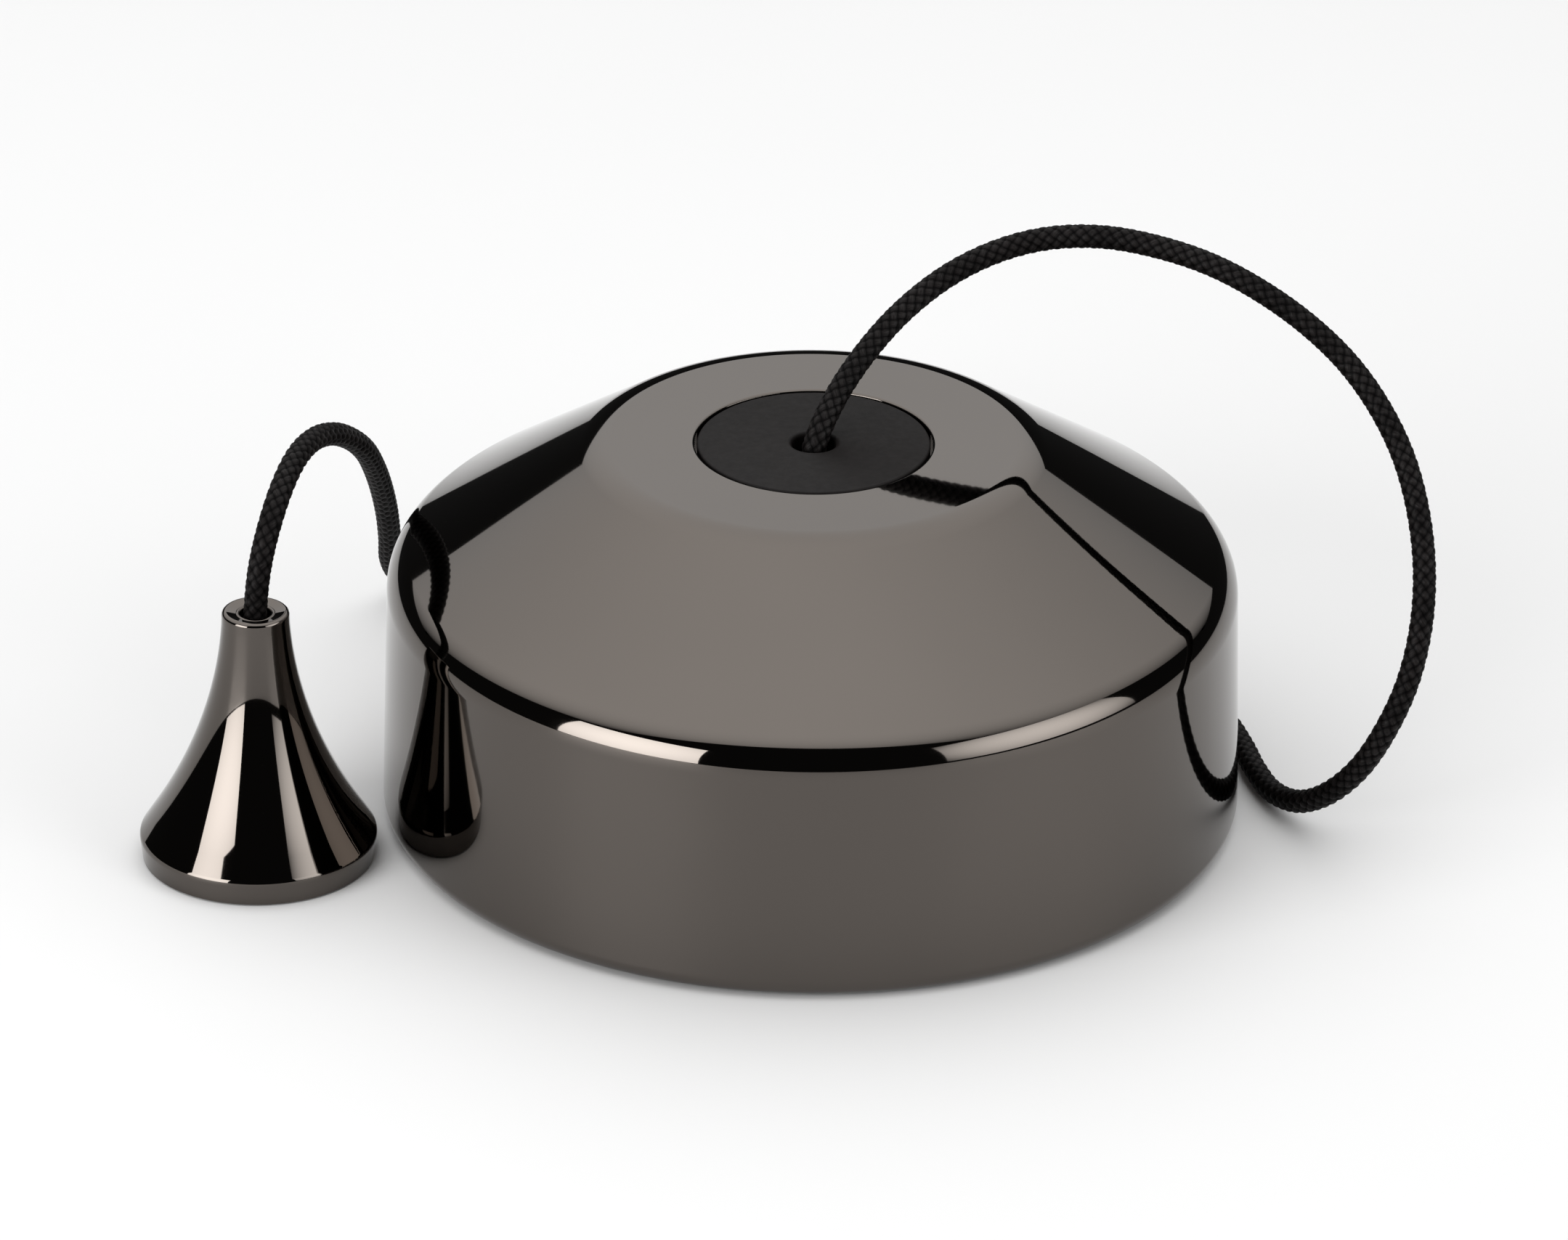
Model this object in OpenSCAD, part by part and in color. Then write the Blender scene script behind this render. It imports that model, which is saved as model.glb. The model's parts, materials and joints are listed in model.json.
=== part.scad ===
// Round ceiling pull cord switch, lying on its mounting face.
// Millimetres, +Z points out of the face that meets the ceiling. The origin is the
// centre of that mounting face.

/* [Cover] */
// Radius of the cover at its rim
cover_r = 47.5; // [46.5:0.5:48.5]
// Height of the cover above the ceiling
cover_h = 43.9; // [43.5:0.1:44.5]
// Thickness of the pressed sheet
cover_wall = 1.2; // [0.8:0.1:1.4]
// Radius of the wall where it meets the shoulder
shoulder_r = 46.85; // [46.4:0.05:47.2]
// Height of the shoulder's corner before it is rounded
shoulder_z = 28.95; // [28:0.05:30]
// Rounding of the shoulder
shoulder_round = 5.3; // [4:0.1:6]
// Radius where the cone meets the flat top before it is rounded
crown_r = 24.1; // [23:0.1:25]
// Rounding between the cone and the flat top
crown_round = 6.2; // [5:0.1:7]
// Rounding of the rolled rim
rim_round = 2; // [1:0.1:2.4]

/* [Nose] */
// Radius of the black centre disc
nose_r = 12.8; // [12.5:0.1:13.5]
// Radius of the cord hole in the disc
cord_hole_r = 2.45; // [2:0.05:2.8]

/* [Base] */
// Distance between the centres of the two fixing slots
slot_pitch = 58.8; // [57:0.2:60]
// End-to-end length of a fixing slot
slot_length = 12.6; // [11:0.2:13]
// Width of a fixing slot
slot_width = 4.6; // [4.2:0.1:5]
// Radius of the cable hole in the base
cable_hole_r = 7.2; // [6.5:0.1:7.5]

/* [Mechanism] */
// Travel of the pull
travel = 8; // [6:0.5:8]
// Angle that one pull turns the drive barrel and the contact rotor
step_angle = 45; // [45:45:45]
// Wire diameter of the return spring
spring_wire = 0.8; // [0.6:0.1:0.9]
// Number of turns in the return spring
spring_turns = 6; // [4:1:7]

/* [Pull] */
// Diameter of the braided cord
cord_d = 2.6; // [2.4:0.1:2.8]
// Largest radius of the bell-shaped pull
bell_r = 13.1; // [12.5:0.1:13.2]
// Height of the bell-shaped pull
bell_h = 29.6; // [29:0.1:30]

/* [Hidden] */

$fn = 96;
arc_steps = 10;
eps = 0.01;
cut = 1;

// Colours
nickel = [0.27, 0.26, 0.25];
matte_black = [0.12, 0.12, 0.12];
moulding = [0.9, 0.9, 0.87];
brass = [0.8, 0.65, 0.35];
steel = [0.7, 0.7, 0.72];
silver = [0.85, 0.85, 0.83];
braid = [0.07, 0.07, 0.07];

// Cover, worked out from its outer corners
cone_slope = atan2(cover_h - shoulder_z, shoulder_r - crown_r);
cone_offset = cover_wall / cos(cone_slope);
inner_top_z = cover_h - cover_wall;
inner_crown_r = crown_r + (cover_h - cone_offset - inner_top_z) / tan(cone_slope);
inner_shoulder_r = shoulder_r - cover_wall;
inner_shoulder_z = shoulder_z + cover_wall * tan(cone_slope) - cone_offset;
nose_gap = 0.3;
recess_r = nose_r + nose_gap;
ledge_top_z = cover_h - 2.5;
ledge_hole_r = 11.2;
lip_r = cover_r - 3;

// Nose bush: a head in the cover's recess and a shank in the neck of the cap
nose_top_z = cover_h - 0.05;
nose_head_z = ledge_top_z + 0.05;
shank_r = 8;
shank_z = 34;
guide_r = 4.6;
guide_top_z = cover_h - 1.9;

// Base plate
base_r = lip_r - 0.3;
floor_z = 2.5;
base_rim_z = 8;
base_rim_wall = 2;
cable_y = 31;
spindle_boss_r = 4;
fence_wall = 1.2;
fence_gap = 0.2;
fence_inset = 1.5;
grommet_bore_r = 6;
grommet_lip = 2;
grommet_lip_h = 1.6;

// Screws are plain shanks in plain pilot holes, with a driver slot across the head
pilot_r = 1.05;
clearance_r = 1.15;
shank_core_r = 1;
driver_slot_w = 0.6;
driver_slot_l = 6;
housing_screw_r = 18.7;
housing_screw_angles = [0, 120, 240];
housing_screw_l = 7;
sink_r = 2.3;
sink_depth = 1.5;
sunk_head_r = 2.05;
sunk_head_z = 0.2;
sunk_head_h = 1.2;
cap_head_r = 1.9;
cap_head_h = 1.3;
cap_screw_l = 11;
cap_pilot_l = 9.5;

// Housing: a chamber for the rotor below and a tower for the barrel above
chamber_r = 20.2;
chamber_bore_r = 17.2;
chamber_top_z = 11;
chamber_ceiling_z = 9.2;
tower_r = 11.6;
tower_top_z = 28;
flange_r = 15.2;
flange_t = 2.5;
barrel_bore_r = 8.7;
shoulder_bore_r = 7.2;
barrel_top_z = 24.2;
cap_screw_r = 12.9;
cap_boss_r = 2.2;
barrel_play = 0.1;
pin_slot_y = [5.7, 10.3];
pin_slot_top_z = 20.3;
leaf_window_w = 5.6;
leaf_window_z = [7.6, 9];
cap_top_z = 30.5;
neck_r = 10.8;
neck_top_z = ledge_top_z - 0.2;

// Pull train
pin_r = 0.88;
pin_z = 10.75;
pin_reach = 9.9;
boss_r = 6.8;
boss_z = 8.5;
boss_top_z = 13;
stem_r = 4.2;
stem_top_z = 33;
knot_r = 2.9;
knot_h = 4.4;
knot_seat_z = 20;
barrel_r = 8.6;
barrel_in_r = 7;
barrel_z = 7.35;
slot_r = 1.06;
slot_cuts = 14;
coil_spring_r = 5.6;
spring_end_gap = 0.05;
knot_bore_r = 3.2;
cord_play = 0.2;

// Rotor and contacts
rotor_r = 16.5;
rotor_z = 3.7;
rotor_top_z = 5.7;
teeth = 8;
tooth_h = 1.5;
tooth_l = 4.2;
spindle_r = 1.5;
spindle_z = 1;
spindle_top_z = 8;
hub_r = 3.2;
hub_h = 3.8;
notch_r = 1.3;
notch_angle = 22.5;
detent_angle = 112.5;
detent_x = [12.5, 16.4];
detent_w = 3.2;
detent_t = 0.4;
detent_nub_r = 0.7;
detent_nub_h = 0.9;
contact_r = 14;
bridge_t = 0.8;
bridge_in_r = 9.6;
bridge_out_r = 12.6;
bridge_end_r = 16;
bridge_w = 4.6;
tip_r = 1.5;
tip_h = 0.6;
leaf_z = 8;
leaf_t = 0.7;
leaf_w = 4.6;
leaf_tip_x = 12.4;
contact_gap = 0.2;

// Terminals stand at these angles round the housing
terminal_x = 22.6;
terminal_l = 8.4;
terminal_w = 8;
terminal_h = 10;
wire_bore_r = 2;
wire_bore_z = floor_z + 3.6;
clamp_bore_r = 1.5;
clamp_head_r = 2.8;
clamp_head_h = 1.8;
clamp_shank_r = 1.4;
clamp_shank_l = 4;
strap_w = 6;
strap_foot_z = floor_z + 2;
strap_rise = 8;
live_angle = 45;
loop_angle = 135;
load_angle = 225;
earth_angle = 315;
terminal_angles = [live_angle, loop_angle, load_angle, earth_angle];

// Bell-shaped pull
bell_at = [-60.7, -14, 0];
bell_hole_r = 1.75;
bell_seat_z = 22;
bell_neck_r = 3.75;
bell_foot_r = 11.2;
bell_bore_r = 3.4;
washer_t = 0.8;
bell_knot_z = bell_seat_z - washer_t;

// Coil of spare cord behind the switch
coil_at = [0, 71.1, 0];
coil_r = 16.4;
coil_turns_wide = 4;
coil_layers = 2;
tie_t = 0.5;
coil_z = tie_t;
coil_w = coil_turns_wide * cord_d;
coil_h = coil_layers * cord_d + 0.1;
tie_angle = 18;

// Route of the cord from the knot in the plunger to the coil
lead_route = [
    [0, 0, 20], [0, 0, 26.5], [0, 0, 33], [0, 0, 39.5], [0.2, 0.3, 43.6], [2.5, 3.9, 47.7],
    [5.8, 7.9, 51.3], [9.8, 11.6, 54.5], [14.6, 14.8, 57.2], [19.9, 16.9, 59.2],
    [25.6, 17.5, 60.6], [31.6, 16.7, 61.2], [37.6, 14.9, 60.9], [43.5, 12.7, 59.8],
    [49, 10.4, 57.7], [54.1, 8.1, 54.8], [58.5, 5.7, 51.3], [62, 2.8, 47.3], [64.6, -0.4, 42.9],
    [66.2, -4, 38.1], [66.9, -7.6, 32.9], [66.6, -10.8, 27.5], [65.3, -12.7, 21.7],
    [63.1, -13.1, 16], [60.4, -12, 10.6], [57.2, -9.5, 6.1], [54.1, -5.5, 2.9],
    [51.4, -0.3, 1.4], [49.6, 5.2, 1.3], [48.4, 10.8, 1.3], [46.7, 16.9, 1.3],
    [43.8, 23.4, 1.3], [39.7, 29.8, 1.3], [34.4, 36, 1.3], [28, 41.8, 1.3], [21.6, 46.4, 1.3],
    [14.6, 49.3, 1.5], [7.4, 50.6, 1.7]
];

// Route of the cord from the coil to the knot in the bell
tail_route = [
    [-7.4, 51.4, 4.1], [-14, 53, 2.9], [-20.6, 55, 1.7], [-27.2, 56.6, 1.3], [-33.8, 57.2, 1.3],
    [-40, 55.8, 1.3], [-44.8, 52, 1.8], [-47.4, 47.2, 4.2], [-48.2, 42.2, 8.4],
    [-48.1, 37.6, 13.4], [-48.2, 33, 18.8], [-48.6, 28, 24.3], [-49.2, 22.8, 29.4],
    [-50, 17.8, 33.8], [-51.4, 13.2, 37.4], [-53.1, 8.5, 40.2], [-54.9, 3.6, 41.9],
    [-56.5, -1.5, 42.3], [-57.9, -6.6, 41.2], [-59.2, -11, 38.4], [-60.2, -13.3, 34.4],
    [-60.7, -14, 29.6], [-60.7, -14, 25.4], [-60.7, -14, 21.2]
];

// Outlines: corners are [radius, height, rounding], and each rounding is an arc
function flat(p) = [p[0], p[1]];
function unit(v) = v / norm(v);
function turn(a) = a > 180 ? a - 360 : a < -180 ? a + 360 : a;
function arc(centre, r, start, sweep) = [
    for (i = [0 : arc_steps])
        centre + r * [cos(start + sweep * i / arc_steps), sin(start + sweep * i / arc_steps)]
];
function corner(before, here, after, r) =
    r == 0 ? [here] :
    let (
        a = unit(before - here),
        b = unit(after - here),
        half = acos(a * b) / 2,
        centre = here + unit(a + b) * r / sin(half),
        from = here + a * r / tan(half) - centre,
        to = here + b * r / tan(half) - centre,
        start = atan2(from[1], from[0])
    )
    arc(centre, r, start, turn(atan2(to[1], to[0]) - start));
function rounded(c) = [
    for (i = [0 : len(c) - 1])
        each corner(
            flat(c[(i + len(c) - 1) % len(c)]), flat(c[i]), flat(c[(i + 1) % len(c)]), c[i][2]
        )
];
function bezier(p, steps) = [
    for (i = [0 : steps])
        let (t = i / steps, s = 1 - t)
        s * s * s * p[0] + 3 * s * s * t * p[1] + 3 * s * t * t * p[2] + t * t * t * p[3]
];

// Tubes swept along a route: every ring stands square to the route at its point, and
// u, the direction of its first corner, is carried on from ring to ring
function heading(route, i) =
    unit(route[min(i + 1, len(route) - 1)] - route[max(i - 1, 0)]);
function square_to(u, h) = unit(u - (u * h) * h);
function ring(centre, h, u, r, sides) =
    let (v = cross(h, u))
    [for (k = [0 : sides - 1]) centre + r * (u * cos(360 * k / sides) + v * sin(360 * k / sides))];

module tube(route, r, sides) {
    last = len(route) - 1;
    points = [
        for (
            i = 0, u = square_to([0.2, 1, 0.1], heading(route, 0));
            i <= last;
            i = i + 1, u = square_to(u, heading(route, min(i, last)))
        )
            each ring(route[i], heading(route, i), u, r, sides)
    ];
    walls = [
        for (i = [0 : last - 1])
            for (k = [0 : sides - 1])
                let (a = i * sides + k, b = i * sides + (k + 1) % sides)
                each [[a, b, b + sides], [a, b + sides, a + sides]]
    ];
    ends = [
        [for (k = [sides - 1 : -1 : 0]) k],
        [for (k = [0 : sides - 1]) last * sides + k]
    ];
    polyhedron(points = points, faces = concat(ends, walls));
}

module lathe(corners) {
    rotate_extrude()
        polygon(rounded(corners));
}

module pipe(r, bore, z, top) {
    difference() {
        translate([0, 0, z])
            cylinder(r = r, h = top - z);
        translate([0, 0, z - cut])
            cylinder(r = bore, h = top - z + 2 * cut);
    }
}

module at_angle(a, r) {
    rotate([0, 0, a])
        translate([r, 0, 0])
            children();
}

module block(x, y, z) {
    translate([x[0], y[0], z[0]])
        cube([x[1] - x[0], y[1] - y[0], z[1] - z[0]]);
}

module metal_cover() {
    color(nickel)
        lathe([
            [cover_r, 0, rim_round],
            [shoulder_r, shoulder_z, shoulder_round],
            [crown_r, cover_h, crown_round],
            [recess_r, cover_h, 0.3],
            [recess_r, ledge_top_z, 0],
            [ledge_hole_r, ledge_top_z, 0],
            [ledge_hole_r, ledge_top_z - cover_wall, 0],
            [recess_r + cover_wall, ledge_top_z - cover_wall, 0],
            [recess_r + cover_wall, inner_top_z, 0],
            [inner_crown_r, inner_top_z, crown_round - cover_wall],
            [inner_shoulder_r, inner_shoulder_z, shoulder_round - cover_wall],
            [cover_r - cover_wall, cover_wall, rim_round - cover_wall],
            [lip_r, cover_wall, 0],
            [lip_r, 0, 0]
        ]);
}

module nose_bush() {
    color(matte_black)
        lathe([
            [cord_hole_r, nose_top_z, 0.5],
            [cord_hole_r, guide_top_z, 0],
            [guide_r, guide_top_z, 0],
            [guide_r, shank_z, 0],
            [shank_r, shank_z, 0.4],
            [shank_r, nose_head_z, 0],
            [nose_r, nose_head_z, 0],
            [nose_r, nose_top_z, 0.3]
        ]);
}

module fixing_slot(x) {
    reach = (slot_length - slot_width) / 2;
    for (s = [-1, 1])
        translate([x + s * reach, 0, -cut])
            cylinder(r = slot_width / 2, h = floor_z + 2 * cut);
    block([x - reach, x + reach], [-slot_width / 2, slot_width / 2], [-cut, floor_z + cut]);
}

module terminal_fence() {
    x = [terminal_x + fence_inset, terminal_x + terminal_l - fence_inset];
    for (s = [-1, 1])
        translate([0, s * (terminal_w / 2 + fence_gap + fence_wall / 2), 0])
            block(x, [-fence_wall / 2, fence_wall / 2], [floor_z - eps, floor_z + fence_wall]);
}

module base_plate() {
    color(moulding)
        difference() {
            union() {
                cylinder(r = base_r, h = floor_z);
                pipe(base_r, base_r - base_rim_wall, 0, base_rim_z);
                cylinder(r = spindle_boss_r, h = floor_z + 1);
                for (a = terminal_angles)
                    rotate([0, 0, a])
                        terminal_fence();
            }
            for (s = [-1, 1])
                fixing_slot(s * slot_pitch / 2);
            translate([0, cable_y, -cut])
                cylinder(r = cable_hole_r, h = floor_z + 2 * cut);
            translate([0, 0, spindle_z])
                cylinder(r = spindle_r, h = floor_z + cut);
            for (a = housing_screw_angles)
                at_angle(a, housing_screw_r) {
                    translate([0, 0, -cut])
                        cylinder(r = clearance_r, h = floor_z + 2 * cut);
                    translate([0, 0, -eps])
                        cylinder(r1 = sink_r, r2 = pilot_r, h = sink_depth);
                }
        }
}

module cable_grommet() {
    color(matte_black)
        translate([0, cable_y, 0])
            lathe([
                [grommet_bore_r, 0.3, 0],
                [cable_hole_r - 0.05, 0.3, 0],
                [cable_hole_r - 0.05, floor_z, 0],
                [cable_hole_r + grommet_lip, floor_z, 0],
                [cable_hole_r + grommet_lip, floor_z + grommet_lip_h, 0.7],
                [grommet_bore_r, floor_z + grommet_lip_h, 0.5]
            ]);
}

module housing() {
    color(moulding)
        difference() {
            union() {
                pipe(chamber_r, chamber_bore_r, floor_z, chamber_top_z);
                pipe(chamber_bore_r + eps, barrel_bore_r, chamber_ceiling_z, chamber_top_z);
                pipe(tower_r, barrel_bore_r, chamber_ceiling_z, barrel_top_z + barrel_play);
                pipe(tower_r, shoulder_bore_r, barrel_top_z + barrel_play, tower_top_z);
                pipe(flange_r, tower_r - eps, tower_top_z - flange_t, tower_top_z);
                for (s = [-1, 1])
                    difference() {
                        translate([s * cap_screw_r, 0, chamber_top_z - eps])
                            cylinder(r = cap_boss_r, h = tower_top_z - chamber_top_z);
                        cylinder(r = barrel_bore_r + 0.5, h = tower_top_z);
                    }
            }
            for (s = [-1, 1]) {
                translate([s * cap_screw_r, 0, tower_top_z - cap_pilot_l])
                    cylinder(r = pilot_r, h = cap_pilot_l + cut);
                rotate([0, 0, 90 * s])
                    block(pin_slot_y, [-pilot_r, pilot_r], [chamber_ceiling_z - cut, pin_slot_top_z]);
            }
            for (a = housing_screw_angles)
                at_angle(a, housing_screw_r)
                    translate([0, 0, floor_z - cut])
                        cylinder(r = pilot_r, h = housing_screw_l);
            for (a = [live_angle, load_angle])
                rotate([0, 0, a])
                    block(
                        [chamber_bore_r - cut, chamber_r + cut],
                        [-leaf_window_w / 2, leaf_window_w / 2], leaf_window_z
                    );
        }
}

module housing_cap() {
    color(moulding)
        difference() {
            union() {
                pipe(flange_r, guide_r, tower_top_z, cap_top_z);
                pipe(neck_r, shank_r + barrel_play, cap_top_z - eps, neck_top_z);
            }
            for (s = [-1, 1])
                translate([s * cap_screw_r, 0, tower_top_z - cut])
                    cylinder(r = clearance_r, h = flange_t + 2 * cut);
        }
}

module driver_slot(z, top) {
    block([-driver_slot_l / 2, driver_slot_l / 2], [-driver_slot_w / 2, driver_slot_w / 2], [z, top]);
}

module housing_screws() {
    color(steel)
        for (a = housing_screw_angles)
            at_angle(a, housing_screw_r)
                difference() {
                    union() {
                        translate([0, 0, sunk_head_z])
                            cylinder(r1 = sunk_head_r, r2 = shank_core_r, h = sunk_head_h);
                        translate([0, 0, sunk_head_h + 0.1])
                            cylinder(r = shank_core_r, h = housing_screw_l);
                    }
                    driver_slot(-cut, sunk_head_z + 0.5);
                }
}

module cap_screws() {
    color(steel)
        for (s = [-1, 1])
            translate([s * cap_screw_r, 0, 0])
                difference() {
                    union() {
                        translate([0, 0, cap_top_z])
                            cylinder(r = cap_head_r, h = cap_head_h);
                        translate([0, 0, cap_top_z - cap_screw_l])
                            cylinder(r = shank_core_r, h = cap_screw_l + 0.1);
                    }
                    driver_slot(cap_top_z + cap_head_h / 2, cap_top_z + cap_head_h + cut);
                }
}

module spindle() {
    color(steel)
        lathe([
            [0, spindle_z, 0],
            [spindle_r, spindle_z, 0],
            [spindle_r, spindle_top_z, 0.3],
            [0, spindle_top_z, 0]
        ]);
}

// A row of saw teeth round the axis: each has one upright face and one ramp
module saw_teeth(outline, r, w) {
    for (i = [0 : teeth - 1])
        rotate([0, 0, i * 360 / teeth])
            translate([r, 0, 0])
                rotate([90, 0, 90])
                    linear_extrude(w)
                        polygon(outline);
}

module drive_barrel() {
    low = rotor_top_z + 0.25;
    color(silver)
        difference() {
            union() {
                pipe(barrel_r, barrel_in_r, barrel_z, barrel_top_z);
                saw_teeth(
                    [[-0.12, low], [-0.12, barrel_z + 0.1], [-tooth_l, barrel_z + 0.1]],
                    barrel_in_r + 0.3, 1
                );
            }
            for (side = [90, 270], i = [0 : slot_cuts])
                rotate([0, 0, side - step_angle * i / slot_cuts])
                    translate([barrel_in_r - cut, 0, pin_z + travel * i / slot_cuts])
                        rotate([0, 90, 0])
                            cylinder(r = slot_r, h = 4);
        }
}

module contact_rotor() {
    color(moulding)
        difference() {
            union() {
                translate([0, 0, rotor_z])
                    cylinder(r = rotor_r, h = rotor_top_z - rotor_z);
                translate([0, 0, rotor_z])
                    cylinder(r = hub_r, h = hub_h);
                saw_teeth(
                    [
                        [0, rotor_top_z - 0.1], [0, rotor_top_z + tooth_h],
                        [tooth_l, rotor_top_z + 0.05], [tooth_l, rotor_top_z - 0.1]
                    ],
                    barrel_in_r + 0.1, 1.4
                );
            }
            translate([0, 0, rotor_z - cut])
                cylinder(r = spindle_r + 0.06, h = 6);
            for (i = [0 : teeth - 1])
                at_angle(notch_angle + i * 360 / teeth, rotor_r + notch_r / 2)
                    translate([0, 0, rotor_z - cut])
                        cylinder(r = notch_r, h = rotor_top_z - rotor_z + 2 * cut);
        }
}

module bridge_contact() {
    color(brass)
        union() {
            pipe(bridge_out_r, bridge_in_r, rotor_top_z, rotor_top_z + bridge_t);
            for (a = [0, 180])
                rotate([0, 0, a])
                    block(
                        [bridge_in_r + 1, bridge_end_r], [-bridge_w / 2, bridge_w / 2],
                        [rotor_top_z, rotor_top_z + bridge_t]
                    );
        }
}

module contact_tip(z, h) {
    translate([0, 0, z])
        cylinder(r = tip_r, h = h);
}

module moving_contact_tips() {
    color(silver)
        for (a = [0, 180])
            at_angle(a, contact_r)
                contact_tip(rotor_top_z + bridge_t, tip_h);
}

module fixed_contact_tips() {
    low = rotor_top_z + bridge_t + tip_h + contact_gap;
    color(silver)
        for (a = [live_angle, load_angle])
            at_angle(a, contact_r)
                contact_tip(low, leaf_z - low);
}

module contact_leaf() {
    foot = terminal_x - leaf_t;
    union() {
        block([leaf_tip_x, terminal_x], [-leaf_w / 2, leaf_w / 2], [leaf_z, leaf_z + leaf_t]);
        block([foot, terminal_x], [-leaf_w / 2, leaf_w / 2], [floor_z + 1, leaf_z + leaf_t]);
    }
}

module contact_live() {
    color(brass)
        rotate([0, 0, live_angle])
            contact_leaf();
}

module contact_load() {
    color(brass)
        rotate([0, 0, load_angle])
            contact_leaf();
}

// A strip that lies on the base and bears a round nub beside the rotor's notches
module detent_spring() {
    color(steel)
        rotate([0, 0, detent_angle])
            union() {
                block(detent_x, [-detent_w / 2, detent_w / 2], [floor_z, floor_z + detent_t]);
                translate([rotor_r - detent_nub_r - 0.2, 0, floor_z])
                    cylinder(r = detent_nub_r, h = detent_nub_h);
            }
}

module terminal_block() {
    mid = terminal_x + terminal_l / 2;
    difference() {
        block(
            [terminal_x, terminal_x + terminal_l], [-terminal_w / 2, terminal_w / 2],
            [floor_z, floor_z + terminal_h]
        );
        translate([mid, -terminal_w, wire_bore_z])
            rotate([-90, 0, 0])
                cylinder(r = wire_bore_r, h = 2 * terminal_w);
        translate([mid, 0, wire_bore_z])
            cylinder(r = clamp_bore_r, h = terminal_h);
    }
}

module terminal_live() {
    color(brass)
        rotate([0, 0, live_angle])
            terminal_block();
}

module terminal_load() {
    color(brass)
        rotate([0, 0, load_angle])
            terminal_block();
}

module terminal_loop() {
    color(brass)
        rotate([0, 0, loop_angle])
            terminal_block();
}

module terminal_earth() {
    color(brass)
        rotate([0, 0, earth_angle])
            terminal_block();
}

module terminal_screws() {
    top = floor_z + terminal_h;
    color(steel)
        for (a = terminal_angles)
            at_angle(a, terminal_x + terminal_l / 2)
                difference() {
                    union() {
                        translate([0, 0, top])
                            cylinder(r = clamp_head_r, h = clamp_head_h);
                        translate([0, 0, top - clamp_shank_l])
                            cylinder(r = clamp_shank_r, h = clamp_shank_l + 0.1);
                    }
                    driver_slot(top + clamp_head_h / 2, top + clamp_head_h + cut);
                }
}

module earth_strap() {
    near = terminal_x + terminal_l;
    far = inner_shoulder_r - 0.1;
    y = [-strap_w / 2, strap_w / 2];
    z = base_rim_z + 0.4;
    color(brass)
        rotate([0, 0, earth_angle])
            union() {
                block([near, near + leaf_t], y, [strap_foot_z, z + leaf_t]);
                block([near, far], y, [z, z + leaf_t]);
                block([far - leaf_t, far], y, [z, z + strap_rise]);
            }
}

module plunger() {
    color(silver)
        difference() {
            lathe([
                [knot_bore_r, boss_z, 0],
                [boss_r, boss_z, 0.3],
                [boss_r, boss_top_z, 0],
                [stem_r, boss_top_z, 0],
                [stem_r, stem_top_z, 0.4],
                [cord_d / 2 + cord_play, stem_top_z, 0.3],
                [cord_d / 2 + cord_play, knot_seat_z, 0],
                [knot_bore_r, knot_seat_z, 0]
            ]);
            translate([0, -boss_r - cut, pin_z])
                rotate([-90, 0, 0])
                    cylinder(r = pin_r + 0.02, h = 2 * (boss_r + cut));
        }
}

module cross_pin() {
    color(steel)
        translate([0, -pin_reach, pin_z])
            rotate([-90, 0, 0])
                cylinder(r = pin_r, h = 2 * pin_reach);
}

module return_spring() {
    per_turn = 16;
    steps = spring_turns * per_turn;
    low = boss_top_z + spring_wire / 2 + spring_end_gap;
    high = tower_top_z - spring_wire / 2 - spring_end_gap;
    route = [
        for (i = [0 : steps])
            let (a = 360 * i / per_turn)
            [coil_spring_r * cos(a), coil_spring_r * sin(a), low + (high - low) * i / steps]
    ];
    color(steel)
        tube(route, spring_wire / 2, 6);
}

module knot(top) {
    lathe([
        [0, top - knot_h, 0],
        [knot_r, top - knot_h, 1.5],
        [knot_r, top, 1],
        [0, top, 0]
    ]);
}

module inner_knot() {
    color(braid)
        knot(knot_seat_z);
}

module cord_lead() {
    color(braid)
        tube(lead_route, cord_d / 2, 8);
}

module cord_tail() {
    color(braid)
        tube(tail_route, cord_d / 2, 8);
}

module cord_coil() {
    color(braid)
        translate(coil_at)
            pipe(coil_r + coil_w / 2, coil_r - coil_w / 2, coil_z, coil_z + coil_h);
}

module coil_tie() {
    gap = 0.1;
    in_r = coil_r - coil_w / 2 - gap;
    out_r = coil_r + coil_w / 2 + gap;
    color(matte_black)
        translate(coil_at)
            rotate([0, 0, 90 - tie_angle / 2])
                rotate_extrude(angle = tie_angle)
                    difference() {
                        translate([in_r - tie_t, 0])
                            square([out_r - in_r + 2 * tie_t, coil_h + 2 * tie_t + gap]);
                        translate([in_r, tie_t])
                            square([out_r - in_r, coil_h + gap]);
                    }
}

module bell() {
    top_round = 0.5;
    neck_end = [bell_neck_r, bell_h - 1.5];
    outer = bezier([[bell_r - 1.6, 4.6], [7.25, 11.6], [4.3, 19.6], neck_end], 22);
    inner = bezier([[bell_bore_r, 16.5], [4.2, 12], [7, 7.4], [bell_foot_r - 0.4, 2.4]], 14);
    outline = concat(
        [[bell_r - 0.3, 0]],
        corner([bell_r - 0.3, 0], [bell_r, 1.95], outer[0], 1.6),
        outer,
        corner(neck_end, [bell_neck_r - 0.05, bell_h], [bell_hole_r, bell_h], top_round),
        corner([bell_neck_r, bell_h], [bell_hole_r, bell_h], [bell_hole_r, bell_seat_z], 0.25),
        [[bell_hole_r, bell_seat_z], [bell_bore_r, bell_seat_z]],
        inner,
        [[bell_foot_r, 0]]
    );
    color(nickel)
        translate(bell_at)
            rotate_extrude()
                polygon(outline);
}

module bell_washer() {
    color(brass)
        translate(bell_at)
            pipe(3.3, bell_hole_r, bell_knot_z, bell_seat_z);
}

module bell_knot() {
    color(braid)
        translate(bell_at)
            knot(bell_knot_z);
}

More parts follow.
